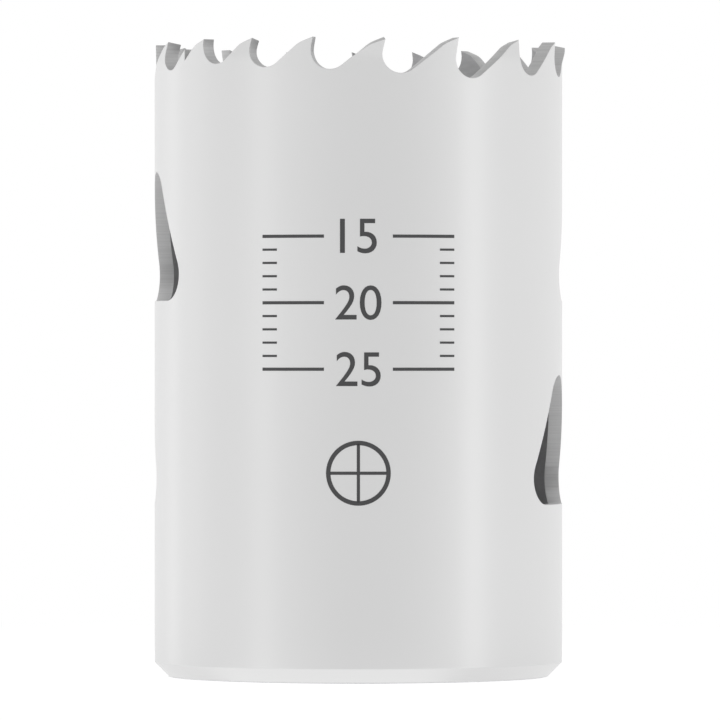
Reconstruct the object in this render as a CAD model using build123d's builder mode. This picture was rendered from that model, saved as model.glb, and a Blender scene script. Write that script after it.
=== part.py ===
# Hole saw for a 32 mm hole, standing on its base with the teeth up.
# Millimetres and degrees. The origin is the centre of the base plate's lower face, and +Z runs
# along the saw's axis towards the teeth. Angles round the saw start at the front (-Y) and grow
# towards +X, which is the way the teeth point and the way the saw turns.
import os
from math import acos, atan2, cos, degrees, hypot, radians, sin, tan

from build123d import *

os.makedirs("parts", exist_ok=True)

# Body
cut_diameter = 32.0  # the hole that the saw leaves, over the tips that lean outwards
tooth_set = 0.30  # how far a set tip leans out of the wall or into it
wall = 1.05  # thickness of the rolled strip
height = 48.65  # from the base to the tooth tips
rim_bevel = 1.1  # 45 degree bevel turned on the lower end, after the plate is welded in

# Side slots: rounded triangles cut straight through, in a high and a low pair
slot_height = 9.88  # from the rounded apex to the flat foot
slot_flank = 28.8  # angle of each flank from the axis
slot_apex_radius = 2.4
slot_foot_radius = 2.0
high_slot_foot = 28.88  # height of the foot above the base
high_slot_angle = -80.95
low_slot_foot = 13.30
low_slot_angle = 78.65
slots_in_pair = 2

# Teeth. The turn from each tip to the next varies, so that the saw doesn't chatter, and wider
# gaps are deeper. The set runs straight, in, straight, out.
tooth_pitches = [
    16.85, 18.8, 19.95, 21.6, 23.35, 21.35, 20.85, 18.65, 16.9,
    16.65, 16.95, 18.4, 19.8, 21.5, 21.2, 21.0, 23.7, 22.5,
]
set_pattern = "0i0o"
first_tip_angle = -48.3
rake_angle = 10.0  # undercut of the cutting face
relief_angle = 21.0  # slope behind the tip
relief_length = 1.18
gullet_radius = 1.45  # under the cutting face
gullet_depth = 2.45  # of a gap of the mean pitch
deeper_per_pitch = 0.64  # for each millimetre that a gap is wider than the mean
bend_depth = 1.5  # a set tooth leans from this far below its tip
edge_band = 3.9  # height of the hard steel strip, teeth included

# The ends of the rolled strip meet in the last gap, each one cut off on the back of a tooth
seam_before_tip = 9.0
seam_pitch = 18.6  # pitch that the cut-off tooth had
seam_end_depth = 0.70  # of the strip's end below the tips, on the side of the last tooth
seam_start_depth = 1.55  # and on the side of the first tooth

# Base plate
plate_thickness = 6.0
thread_bore = 14.5  # minor diameter of the 5/8 inch, 18 to the inch, arbor thread
thread_lead_in = 0.7  # bevel at both ends of the bore
pin_land = 0.95  # metal left beside a drive-pin hole, to the thread's lead-in and to the wall
pin_count = 4
pin_angle = 45.0  # of the first drive-pin hole, from +X
pin_lead_in = 0.25

# Cutters run past the faces that they cut by this much
overcut = 1.5

outer_radius = cut_diameter / 2 - tooth_set
inner_radius = outer_radius - wall
joint_height = height - edge_band
bend_height = height - bend_depth
lean_slope = tooth_set / bend_depth
tooth_count = len(tooth_pitches)

# The drive-pin holes lie midway between the thread's lead-in and the wall
thread_mouth_radius = thread_bore / 2 + thread_lead_in
pin_circle_radius = (thread_mouth_radius + inner_radius) / 2
pin_hole_radius = (inner_radius - thread_mouth_radius) / 2 - pin_land


def direction(angle):
    """Level direction at an angle round the saw."""
    return Vector(sin(radians(angle)), -cos(radians(angle)), 0)


def facing_plane(angle, distance):
    """Plane that faces outwards, with local X round the wall and local Y up."""
    return Plane(direction(angle) * distance, x_dir=direction(angle + 90), z_dir=direction(angle))


def section_plane(angle):
    """Plane through the axis, with local X outwards and local Y up."""
    return Plane((0, 0, 0), x_dir=direction(angle), z_dir=direction(angle - 90))


def spread(arc_length, distance):
    """Where a point that lies arc_length round the wall falls on a facing plane."""
    return distance * tan(arc_length / outer_radius)


# The pitches are shares of the whole turn, so that the last gap closes the ring
turn_share = 360 / sum(tooth_pitches)
gap_angles = [pitch * turn_share for pitch in tooth_pitches]
tip_angles = [first_tip_angle + sum(gap_angles[:index]) for index in range(tooth_count)]
leans = [set_pattern[index % len(set_pattern)] for index in range(tooth_count)]
mean_width = outer_radius * radians(360 / tooth_count)


def gap_depth(index):
    """Depth of a gap. The one at the seam is as deep as the tooth that was cut off called for."""
    pitch = seam_pitch * turn_share if index == tooth_count - 1 else gap_angles[index]
    return gullet_depth + deeper_per_pitch * (outer_radius * radians(pitch) - mean_width)


def gullet_centre(index):
    """Centre of a gap's round corner in the flat strip, from the tip before the gap."""
    centre_y = gullet_radius - gap_depth(index)
    centre_x = (gullet_radius + sin(radians(rake_angle)) * centre_y) / cos(radians(rake_angle))
    return centre_x, centre_y


def gullet_angle(index):
    """Where round the saw a gap is deepest."""
    return tip_angles[index] + degrees(gullet_centre(index)[0] / outer_radius)


def gap_points(index):
    """The tip, three points of the round corner, the back of the next tooth and its tip."""
    width = outer_radius * radians(gap_angles[index])
    relief_x = width - relief_length * cos(radians(relief_angle))
    relief_y = -relief_length * sin(radians(relief_angle))
    back = [(relief_x, relief_y), (width, 0)]
    if index == tooth_count - 1:
        seam_x = width - outer_radius * radians(seam_before_tip * turn_share)
        back = [(seam_x, -seam_end_depth), (seam_x, -seam_start_depth)] + back
    # The round corner ends where a straight line from the top of the back touches it
    centre_x, centre_y = gullet_centre(index)
    run, rise = back[0][0] - centre_x, back[0][1] - centre_y
    first = 180 - rake_angle
    last = 360 + degrees(atan2(rise, run) - acos(gullet_radius / hypot(run, rise)))
    points = [(0, 0)]
    for turn in (first, (first + last) / 2, last):
        arc_x = centre_x + gullet_radius * cos(radians(turn))
        arc_y = centre_y + gullet_radius * sin(radians(turn))
        points.append((arc_x, arc_y))
    return points + back


def lean_drop(lean, distance):
    """How far the bend brings a set tip down, at a distance from the axis."""
    if lean == "i":
        return lean_slope * (outer_radius - tooth_set - distance)
    if lean == "o":
        return lean_slope * (distance - inner_radius)
    return 0


def gap_outline(index, distance):
    """The outline of a gap on its facing plane, with the tips brought down by their bends."""
    points = gap_points(index)
    half_width = points[-1][0] / 2
    outline = []
    for x, y in points:
        lean = leans[index] if x < half_width else leans[(index + 1) % tooth_count]
        bent_share = max(0, 1 + y / bend_depth)
        drop = lean_drop(lean, distance) * bent_share
        outline.append((spread(x - half_width, distance), height + y - drop))
    return outline


def gap_cutter(index):
    """Everything between two tips, from the gullet to above the teeth."""
    middle_angle = tip_angles[index] + gap_angles[index] / 2
    with BuildPart() as cutter:
        for distance in (inner_radius - overcut, outer_radius + overcut):
            outline = gap_outline(index, distance)
            with BuildSketch(facing_plane(middle_angle, distance)):
                with BuildLine():
                    Line(outline[0], outline[1])
                    ThreePointArc(outline[1], outline[2], outline[3])
                    Polyline(
                        *outline[3:],
                        (outline[-1][0] + overcut / 4, height + overcut),
                        (outline[0][0] - overcut / 4, height + overcut),
                        outline[0],
                    )
                make_face()
        loft(ruled=True)
    return cutter.part


def slot_cutter(angle, foot):
    """One triangular slot, cut straight through the wall."""
    flank = radians(slot_flank)
    sharp_apex = slot_height + slot_apex_radius / sin(flank) - slot_apex_radius
    half_foot = sharp_apex * tan(flank)
    innermost = inner_radius - 2 * overcut
    with BuildPart() as cutter:
        with BuildSketch(facing_plane(angle, innermost)) as outline:
            with BuildLine():
                Polyline(
                    (-half_foot, foot),
                    (half_foot, foot),
                    (0, foot + sharp_apex),
                    close=True,
                )
            make_face()
            fillet(outline.vertices().sort_by(Axis.Y)[:2], slot_foot_radius)
            fillet(outline.vertices().sort_by(Axis.Y)[-1], slot_apex_radius)
        extrude(amount=outer_radius + overcut - innermost)
    return cutter.part


def tooth_segment(index, cutters):
    """The strip from the gullet before a tooth to the one after it, bent and then cut."""
    begin = gullet_angle(index - 1)
    if index == 0:
        begin -= 360
    top = height + overcut / 2
    lean = {"i": -lean_slope, "o": lean_slope, "0": 0}[leans[index]] * (top - bend_height)
    section = [
        (inner_radius, joint_height),
        (outer_radius, joint_height),
        (outer_radius, bend_height),
        (outer_radius + lean, top),
        (inner_radius + lean, top),
        (inner_radius, bend_height),
    ]
    if leans[index] == "0":
        section = section[:2] + section[3:5]
    with BuildPart() as segment:
        with BuildSketch(section_plane(begin)):
            with BuildLine():
                Polyline(*section, close=True)
            make_face()
        revolve(axis=Axis.Z, revolution_arc=gullet_angle(index) - begin)
        add(cutters[index - 1], mode=Mode.SUBTRACT)
        add(cutters[index], mode=Mode.SUBTRACT)
    return segment.part


# The bevel that is turned on the wall and the plate together
with BuildPart() as rim_cutter:
    with BuildSketch(section_plane(0)):
        with BuildLine():
            Polyline(
                (outer_radius - rim_bevel - overcut, -overcut),
                (outer_radius + overcut, -overcut),
                (outer_radius + overcut, rim_bevel + overcut),
                close=True,
            )
        make_face()
    revolve(axis=Axis.Z)

slot_cutters = []
for row_angle, row_foot in ((high_slot_angle, high_slot_foot), (low_slot_angle, low_slot_foot)):
    for number in range(slots_in_pair):
        slot_cutters.append(slot_cutter(row_angle + number * 360 / slots_in_pair, row_foot))

# The steel strip that is rolled into the body and welded shut, with its slots
with BuildPart() as cup_wall:
    with BuildSketch():
        Circle(outer_radius)
        Circle(inner_radius, mode=Mode.SUBTRACT)
    extrude(amount=joint_height)
    add(rim_cutter.part, mode=Mode.SUBTRACT)
    for cutter in slot_cutters:
        add(cutter, mode=Mode.SUBTRACT)

# The band of harder steel along the strip's upper edge, with the teeth
gap_cutters = [gap_cutter(index) for index in range(tooth_count)]
segments = [tooth_segment(index, gap_cutters) for index in range(tooth_count)]
with BuildPart() as cutting_edge:
    add(segments[0])
    add(segments[1:])

# The thick disc that is welded into the lower end and screws onto the arbor
with BuildPart() as base_plate:
    with BuildSketch():
        Circle(inner_radius)
        Circle(thread_bore / 2, mode=Mode.SUBTRACT)
        with PolarLocations(pin_circle_radius, pin_count, start_angle=pin_angle):
            Circle(pin_hole_radius, mode=Mode.SUBTRACT)
    extrude(amount=plate_thickness)
    hole_edges = base_plate.edges().filter_by(GeomType.CIRCLE).group_by(SortBy.RADIUS)
    chamfer(hole_edges[0], pin_lead_in)
    chamfer(hole_edges[1], thread_lead_in)
    add(rim_cutter.part, mode=Mode.SUBTRACT)

cup_wall.part.label = "cup_wall"
cutting_edge.part.label = "cutting_edge"
base_plate.part.label = "base_plate"

export_step(cup_wall.part, "parts/cup_wall.step")
export_step(cutting_edge.part, "parts/cutting_edge.step")
export_step(base_plate.part, "parts/base_plate.step")
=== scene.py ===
"""Builds the finished look of a hole saw round its packed model, in metres.

The saw stands on its base plate with +Z up towards the teeth, and its front is -Y. Angles round
it start at the front and grow towards +X, the way the teeth point. The body is made as the real
one is: slots and teeth are cut in a flat strip, the teeth are set, and the strip is rolled. In
the flat strip, X runs along it, Y is the depth below its outer face and Z is the height.
"""

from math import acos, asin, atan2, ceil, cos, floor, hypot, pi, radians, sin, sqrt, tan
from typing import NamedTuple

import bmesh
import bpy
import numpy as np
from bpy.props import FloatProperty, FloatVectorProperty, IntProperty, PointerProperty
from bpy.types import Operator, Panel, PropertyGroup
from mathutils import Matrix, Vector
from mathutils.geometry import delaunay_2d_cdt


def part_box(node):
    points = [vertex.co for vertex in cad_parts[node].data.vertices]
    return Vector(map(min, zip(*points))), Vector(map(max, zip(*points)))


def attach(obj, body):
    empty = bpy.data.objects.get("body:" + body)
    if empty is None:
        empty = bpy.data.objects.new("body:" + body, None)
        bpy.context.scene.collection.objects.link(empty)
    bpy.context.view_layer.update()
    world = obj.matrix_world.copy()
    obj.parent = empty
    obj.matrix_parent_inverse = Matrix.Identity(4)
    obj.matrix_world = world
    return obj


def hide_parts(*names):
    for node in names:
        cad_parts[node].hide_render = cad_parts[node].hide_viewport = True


bl_info = {
    "name": "Hole Saw",
    "version": (1, 0, 0),
    "blender": (4, 5, 0),
    "location": "3D View > Sidebar > Hole Saw",
    "description": "Builds a painted hole saw with set teeth, a threaded base plate and a studio",
    "category": "Object",
}

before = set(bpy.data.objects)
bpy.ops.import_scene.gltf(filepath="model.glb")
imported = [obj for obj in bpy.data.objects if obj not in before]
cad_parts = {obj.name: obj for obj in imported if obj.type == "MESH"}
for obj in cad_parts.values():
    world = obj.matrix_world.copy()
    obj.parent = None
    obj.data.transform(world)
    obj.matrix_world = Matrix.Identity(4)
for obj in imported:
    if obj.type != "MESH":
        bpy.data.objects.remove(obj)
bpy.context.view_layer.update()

MM = 0.001

# The main sizes come from the packed model
OUTER_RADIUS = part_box("cup_wall")[1].x
INNER_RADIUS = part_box("base_plate")[1].x
WALL = OUTER_RADIUS - INNER_RADIUS
JOINT_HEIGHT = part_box("cup_wall")[1].z
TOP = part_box("cutting_edge")[1].z
PLATE_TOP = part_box("base_plate")[1].z
STRIP_LENGTH = 2 * pi * OUTER_RADIUS

# Degrees from each tooth tip to the next one, and how each tooth in turn is set
TOOTH_PITCHES = (
    16.85, 18.8, 19.95, 21.6, 23.35, 21.35, 20.85, 18.65, 16.9,
    16.65, 16.95, 18.4, 19.8, 21.5, 21.2, 21.0, 23.7, 22.5,
)
SET_PATTERN = (0, -1, 0, 1)
TOOTH_COUNT = len(TOOTH_PITCHES)

# The flat strip begins at the bottom of this gap, at the back
START_GAP = 11

# The strip's finishes, and their numbers on its faces
STRIP_FINISHES = ("Paint", "Cut Faces", "Inside", "Slot Faces")
PAINTED, CUT, INNER, SLOTTED = range(4)

# How finely the strip is divided
TOOTH_STEP = 0.3 * MM  # longest piece of the toothed edge
TOOTH_ROW = 0.32 * MM  # height of the toothed band's faces
SLOT_STEP = 0.4 * MM  # longest piece of a slot's edge
SHORTEST = 0.002 * MM  # pieces of the toothed edge under this are left out
ROW_MARGIN = 0.1 * MM  # from a row to the strip's edges, at its ends
POINT_MARGIN = 0.2 * MM  # from a point inside the strip to every corner of an edge
FINE_ROUNDING = 0.7  # of the edge rounding, on the teeth and in the slots
FLAT_BESIDE_ROUNDING = 0.04 * MM
BEVEL_SOFTENING = 0.06 * MM  # where the turned bevel meets the wall
ABOVE_BEVEL, BELOW_BEVEL = 0.25, 0.7  # of that softening, to the two corners that make it
BEND_SOFTENING = 0.1 * MM  # where a set tooth is bent

MERGE = 0.0005 * MM  # corners closer than this are joined
SAME_CORNER = 1e-7  # in millimetres, where a face is filled
ON_CUT = 1e-9  # in metres, where the ink is cut into pieces
SHARP = radians(50)  # an edge that turns by more than this stays sharp

# The thread's crest and root, as shares of a turn from the middle of its crest
CREST, ROOT = 0.125, 0.4375
THREAD_COLUMNS, THREAD_ROWS, PIN_COLUMNS = 192, 120, 56
FIRST_PIN = radians(45)

BEAD_COLUMNS, BEAD_SIDES = 600, 12
RIPPLE_BOW = 0.6 * MM  # across the bead, for each radian that a ripple trails
BEAD_SINK = 0.2  # of the bead's radius, into the wall and out of the plate

# The printed marks, from their middle line
LINE_START, TICK_START, LINE_END = 2.6 * MM, 6.3 * MM, 7.5 * MM
MARK_SPACING = 5 * MM
TICKS = 4  # between two numbered marks, a millimetre apart
TICK_WIDTH, RING_WIDTH = 0.7, 1.4  # of the line width
CROSS_ARM = 0.9  # of the ring's radius
RING_SIDES = 96
MARK_STEP = 0.4 * MM  # widest piece of ink, so that it follows the wall

# Strip lights: name, angle round the saw in degrees and power in watts
STRIP_LIGHTS = (
    ("back_left", -128, 3.7), ("left", -105, 1.6), ("front_left", -55, 4.3), ("right", 68, 7.0),
)
LIGHT_WIDTH, LIGHT_HEIGHT, LIGHT_REACH = 0.32, 4.8, 2.0

# Where the surroundings are dimmed, with the cosines between which each dimming grows
FRONT_DIM_WAY = 9  # degrees round the saw
FRONT_DIM_START, FRONT_DIM_FULL = 0.70, 0.98
TOP_DIM_START, TOP_DIM_FULL = 0.10, 0.90

# The floor, by distance from the saw's axis
FLOOR_SIDES = 96
FLOOR_DROP = 0.01 * MM  # below the saw
FLOOR_TONE, SHADOW_LIFT = 0.8, 0.50  # colour of its shaded part, and the light added to it
GLOW_FULL, GLOW_END = 17.5 * MM, 20.5 * MM  # where its own light on the bevel fades out
SHADOW_FULL, SHADOW_END = 30 * MM, 120 * MM  # where the shadow that the camera sees fades out
GLOW_WAY = -8  # degrees round the saw, the middle of the front glow
GLOW_SIDE_END, GLOW_FRONT_START = 0.74, 0.91  # cosines to it, between side glow and front glow
STANDING_GAP = 0.05 * MM  # rays shorter than this come from the face that stands on it

# Where the saw's axis and the camera's eye level lie in the picture, in pixels
PICTURE_SIZE = 720
AXIS_X, EYE_Y = 358.4, 359.25

SENSOR_WIDTH = 36  # in millimetres
NEAREST_SEEN = 0.01  # in metres from the camera


# Settings, with lengths given in millimetres and angles in degrees


def length_prop(name, description, millimetres):
    """A length setting."""
    return FloatProperty(
        name=name, description=description, default=millimetres * MM, unit="LENGTH"
    )


def angle_prop(name, description, degrees):
    """An angle setting."""
    return FloatProperty(
        name=name, description=description, default=radians(degrees), subtype="ANGLE"
    )


def number_prop(name, description, default):
    """A plain number setting."""
    return FloatProperty(name=name, description=description, default=default)


def share_prop(name, description, default):
    """A setting that is a share of something."""
    return FloatProperty(
        name=name, description=description, default=default, min=-1.0, max=1.0, subtype="FACTOR"
    )


def count_prop(name, description, default, least=1):
    """A setting that counts something."""
    return IntProperty(name=name, description=description, default=default, min=least)


def color_prop(name, description, *default):
    """A colour setting."""
    return FloatVectorProperty(
        name=name, description=description, default=default, subtype="COLOR"
    )


def group_prop(name, kind):
    """A group of settings, which its own docstring describes."""
    return PointerProperty(name=name, description=kind.__doc__, type=kind)


class StripSettings(PropertyGroup):
    """The rolled strip that is the saw's body."""

    columns: count_prop("Columns", "Faces round the saw", 240, 48)
    row_height: length_prop("Row Height", "Height of the faces of the plain wall", 2.0)
    edge_round: length_prop("Edge Rounding", "Rounding along every cut edge", 0.05)
    rim_bevel: length_prop("Rim Bevel", "Bevel that is turned on the lower end", 1.1)


class ToothSettings(PropertyGroup):
    """The cutting teeth."""

    first_tip: angle_prop("First Tip", "Angle of the first tooth tip from the front", -48.3)
    rake: angle_prop("Rake", "Undercut of the cutting face", 10)
    relief: angle_prop("Relief", "Slope behind the tip", 21)
    relief_length: length_prop("Relief Length", "Length of the slope behind the tip", 1.18)
    gullet_radius: length_prop(
        "Gullet Radius", "Radius of the corner under the cutting face", 1.45
    )
    gullet_depth: length_prop("Gullet Depth", "Depth of a gap of the mean pitch", 2.45)
    deeper_per_pitch: number_prop(
        "Deeper per Pitch", "Added depth for each length of added pitch", 0.64
    )
    back_round: length_prop(
        "Back Rounding", "How far the corner behind the relief is rounded", 0.35
    )
    bend_depth: length_prop("Bend Depth", "How far below its tip a set tooth is bent", 1.5)
    tooth_set: length_prop("Set", "How far a set tip leans in or out", 0.3)
    seam_before_tip: angle_prop("Seam", "Angle from the strip's seam to the first tip", 9)
    seam_pitch: angle_prop("Seam Pitch", "Pitch of the tooth that the seam cuts off", 18.6)
    seam_end_depth: length_prop("Seam End", "Depth of the strip's end below the tips", 0.70)
    seam_start_depth: length_prop(
        "Seam Start", "Depth of the strip's beginning below the tips", 1.55
    )


class SlotSettings(PropertyGroup):
    """The rounded triangular slots."""

    height: length_prop("Height", "From the foot to the rounded apex", 9.88)
    flank: angle_prop("Flank", "Angle of each flank from upright", 28.8)
    apex_radius: length_prop("Apex Radius", "Radius of the upper corner", 2.4)
    foot_radius: length_prop("Foot Radius", "Radius of the lower corners", 2.0)
    high_foot: length_prop("High Foot", "Height of the high slots' foot", 28.88)
    high_angle: angle_prop("High Angle", "Angle of the first high slot", -80.95)
    low_foot: length_prop("Low Foot", "Height of the low slots' foot", 13.30)
    low_angle: angle_prop("Low Angle", "Angle of the first low slot", 78.65)


class PlateSettings(PropertyGroup):
    """The threaded base plate and its weld."""

    minor_radius: length_prop("Minor Radius", "Radius over the crests of the arbor thread", 7.25)
    major_radius: length_prop("Major Radius", "Radius at the roots of the arbor thread", 7.94)
    thread_pitch: length_prop("Thread Pitch", "Rise of the thread in one turn", 25.4 / 18)
    lead_in: length_prop("Lead-in", "Bevel at both ends of the thread", 0.7)
    pin_land: length_prop("Pin Land", "Metal left beside a drive-pin hole", 0.95)
    pin_lead_in: length_prop("Pin Lead-in", "Bevel at both ends of a drive-pin hole", 0.25)
    pin_count: count_prop("Pins", "Number of drive-pin holes", 4)
    bead_radius: length_prop("Bead Radius", "Radius of the weld bead inside the cup", 0.42)
    bead_ripple: length_prop("Bead Ripple", "Height of the ripples on the weld bead", 0.035)
    bead_ripples: count_prop("Ripples", "Ripples round the weld bead", 150)


class MarkSettings(PropertyGroup):
    """The printed depth marks and the centre sign."""

    first_height: length_prop("Upper Mark", "Height of the uppermost numbered mark", 33.65)
    numeral_height: length_prop("Numeral Height", "Height of the numerals", 2.6)
    line_width: length_prop("Line Width", "Width of the printed lines", 0.24)
    thickness: length_prop("Ink Thickness", "How far the ink stands on the paint", 0.012)
    ring_height: length_prop("Ring Height", "Height of the centre sign", 15.84)
    ring_radius: length_prop("Ring Radius", "Outer radius of the centre sign", 2.44)


class FinishSettings(PropertyGroup):
    """The colours of the finishes."""

    paint: color_prop("Paint", "Satin paint on the outside", 0.702, 0.702, 0.702)
    milled: color_prop("Milled Steel", "Cut faces of the teeth", 0.54, 0.54, 0.54)
    # The slot faces use a lighter, less metallic copy of the teeth's milled steel
    slotted: color_prop(
        "Slot Steel", "Cut faces of the slots, thinly covered by the paint", 0.68, 0.68, 0.68
    )
    rolled: color_prop("Rolled Steel", "Inside of the cup", 0.46, 0.46, 0.465)
    turned: color_prop("Turned Steel", "Base plate and its thread", 0.60, 0.60, 0.61)
    ink: color_prop("Ink", "Printed marks", 0.05, 0.05, 0.052)


class StudioSettings(PropertyGroup):
    """Camera, floor and lights."""

    camera_distance: length_prop(
        "Camera Distance", "From the saw's axis to the camera", 38.5 * 15.7
    )
    camera_height: length_prop("Camera Height", "Height of the camera above the floor", 24.4)
    lens: FloatProperty(
        name="Lens", description="Focal length for a 36 mm sensor", default=392.07, unit="CAMERA"
    )
    world_level: share_prop("Surroundings", "Level of the light from all round", 0.85)
    front_dimming: share_prop(
        "Front Dimming", "How much dimmer the surroundings are in front", 0.32
    )
    top_dimming: share_prop(
        "Top Dimming", "How much dimmer the surroundings are overhead", 0.30
    )
    front_glow: share_prop(
        "Front Glow", "How much more the floor lights the bevel in front", 0.07
    )
    side_glow: share_prop(
        "Side Glow", "How much more the floor lights the bevel elsewhere", -0.17
    )
    floor_radius: length_prop("Floor Radius", "Radius of the floor", 1200)


class SawSettings(PropertyGroup):
    """All settings of the saw."""

    strip: group_prop("Strip", StripSettings)
    teeth: group_prop("Teeth", ToothSettings)
    slots: group_prop("Slots", SlotSettings)
    plate: group_prop("Plate", PlateSettings)
    marks: group_prop("Marks", MarkSettings)
    finishes: group_prop("Finishes", FinishSettings)
    studio: group_prop("Studio", StudioSettings)


# Node trees


def add_node(tree, kind, inputs=(), **settings):
    """Adds a node, sets it up and feeds its inputs with values or with other nodes' sockets."""
    node = tree.nodes.new(kind)
    for name, value in settings.items():
        setattr(node, name, value)
    for key, value in dict(inputs).items():
        if isinstance(value, bpy.types.NodeSocket):
            tree.links.new(value, node.inputs[key])
        else:
            node.inputs[key].default_value = value
    return node


def maths(tree, operation, *values):
    """The result of a Math node."""
    return add_node(tree, "ShaderNodeMath", dict(enumerate(values)), operation=operation).outputs[0]


def from_axis(tree, parts):
    """How far a place lies from the axis, from its separated coordinates."""
    squared = maths(tree, "MULTIPLY", parts["X"], parts["X"])
    return maths(tree, "SQRT", maths(tree, "MULTIPLY_ADD", parts["Y"], parts["Y"], squared))


def apart(tree, place=None):
    """A place's coordinates one by one, in Geometry Nodes those of the points themselves."""
    place = place or add_node(tree, "GeometryNodeInputPosition").outputs[0]
    return add_node(tree, "ShaderNodeSeparateXYZ", {0: place}).outputs


def set_position(tree, geometry, **places):
    """Moves points to a Position or by an Offset."""
    inputs = {"Geometry": geometry, **places}
    return add_node(tree, "GeometryNodeSetPosition", inputs).outputs[0]


def smooth_range(tree, value, first, last, start=0.0, end=1.0):
    """Goes smoothly from start to end while a value goes from first to last."""
    return add_node(
        tree, "ShaderNodeMapRange",
        {"Value": value, "From Min": first, "From Max": last, "To Min": start, "To Max": end},
        interpolation_type="SMOOTHSTEP",
    ).outputs[0]


def cosine_to(tree, way, target):
    """The cosine of the angle between two directions."""
    return add_node(
        tree, "ShaderNodeVectorMath", {0: way, 1: target}, operation="DOT_PRODUCT"
    ).outputs["Value"]


def level_way(degrees):
    """A level direction, by its angle round the saw."""
    return sin(radians(degrees)), -cos(radians(degrees)), 0


def new_geometry_tree(name, sizes, counts=(), materials=("Material",)):
    """A Geometry Nodes tree with a mesh input and named size, count and material inputs."""
    tree = bpy.data.node_groups.new(name, "GeometryNodeTree")
    kinds = [("Geometry", "Geometry")] + [(size, "Float") for size in sizes]
    kinds += [(count, "Int") for count in counts] + [(item, "Material") for item in materials]
    for socket, kind in kinds:
        tree.interface.new_socket(socket, in_out="INPUT", socket_type="NodeSocket" + kind)
    tree.interface.new_socket("Geometry", in_out="OUTPUT", socket_type="NodeSocketGeometry")
    return tree, tree.nodes.new("NodeGroupInput").outputs


def end_geometry_tree(tree, geometry, materials):
    """Ends a tree in real geometry. Each material covers the faces from its finish number on."""
    real = add_node(tree, "GeometryNodeRealizeInstances", {"Geometry": geometry})
    dressed = real.outputs[0]
    finish = add_node(
        tree, "GeometryNodeInputNamedAttribute", {"Name": "finish"}, data_type="INT"
    ).outputs["Attribute"]
    for number, material in enumerate(materials):
        chosen = add_node(
            tree, "FunctionNodeCompare", {2: finish, 3: number},
            data_type="INT", operation="GREATER_EQUAL",
        ).outputs[0]
        dressed = add_node(
            tree, "GeometryNodeSetMaterial",
            {"Geometry": dressed, "Selection": chosen, "Material": material},
        ).outputs[0]
    add_node(tree, "NodeGroupOutput", {"Geometry": dressed})
    return tree


def plain_mesh(thing):
    """A plain mesh of an object as its modifiers leave it."""
    graph = bpy.context.evaluated_depsgraph_get()
    mesh = bpy.data.meshes.new_from_object(
        thing.evaluated_get(graph), preserve_all_data_layers=True, depsgraph=graph
    )
    if not mesh.polygons:
        raise RuntimeError(thing.name + " came out empty")
    return mesh


def grow(name, tree, inputs, mesh=None):
    """Runs a tree on a mesh and returns the plain mesh that it makes."""
    source = bpy.data.objects.new(name, mesh or bpy.data.meshes.new(name))
    modifier = source.modifiers.new(tree.name, "NODES")
    modifier.node_group = tree
    for item in tree.interface.items_tree:
        if item.in_out == "INPUT" and item.name in inputs:
            modifier[item.identifier] = inputs[item.name]
    bpy.context.scene.collection.objects.link(source)
    grown = plain_mesh(source)
    grown.name = name
    bpy.data.objects.remove(source)
    return grown


def roll_tree():
    """Sets the teeth of a flat strip and rolls it round the axis."""
    sizes = ("Radius", "Wall", "Bend Height", "Bend Depth", "Set")
    tree, given = new_geometry_tree("Set and Roll", sizes, (), STRIP_FINISHES)
    flat = apart(tree)
    lean = add_node(tree, "GeometryNodeInputNamedAttribute", {"Name": "lean"}, data_type="FLOAT")
    lean = lean.outputs["Attribute"]

    # Above the bend, a set tooth leans by an even slope, and its tip's far side comes down
    above = maths(tree, "SUBTRACT", flat["Z"], given["Bend Height"])
    above = maths(tree, "SMOOTH_MAX", above, 0.0, BEND_SOFTENING)
    slope = maths(tree, "DIVIDE", given["Set"], given["Bend Depth"])
    shift = maths(tree, "MULTIPLY", maths(tree, "MULTIPLY", above, slope), lean)
    leans_out = maths(tree, "GREATER_THAN", lean, 0.0)
    far_side = maths(tree, "MULTIPLY", given["Wall"], leans_out)
    far_side = maths(tree, "ABSOLUTE", maths(tree, "SUBTRACT", flat["Y"], far_side))
    share = maths(tree, "DIVIDE", above, given["Bend Depth"])
    drop = maths(tree, "MULTIPLY", maths(tree, "MULTIPLY", far_side, slope), share)
    drop = maths(tree, "MULTIPLY", drop, maths(tree, "ABSOLUTE", lean))

    reach = maths(tree, "ADD", maths(tree, "SUBTRACT", given["Radius"], flat["Y"]), shift)
    angle = maths(tree, "DIVIDE", flat["X"], given["Radius"])
    x = maths(tree, "MULTIPLY", reach, maths(tree, "SINE", angle))
    y = maths(tree, "MULTIPLY", reach, maths(tree, "MULTIPLY", maths(tree, "COSINE", angle), -1.0))
    z = maths(tree, "SUBTRACT", flat["Z"], drop)
    rolled = add_node(tree, "ShaderNodeCombineXYZ", {0: x, 1: y, 2: z}).outputs[0]
    moved = set_position(tree, given["Geometry"], Position=rolled)
    closed = add_node(
        tree, "GeometryNodeMergeByDistance", {"Geometry": moved, "Distance": MERGE}
    ).outputs[0]
    return end_geometry_tree(tree, closed, [given[name] for name in STRIP_FINISHES])


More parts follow.
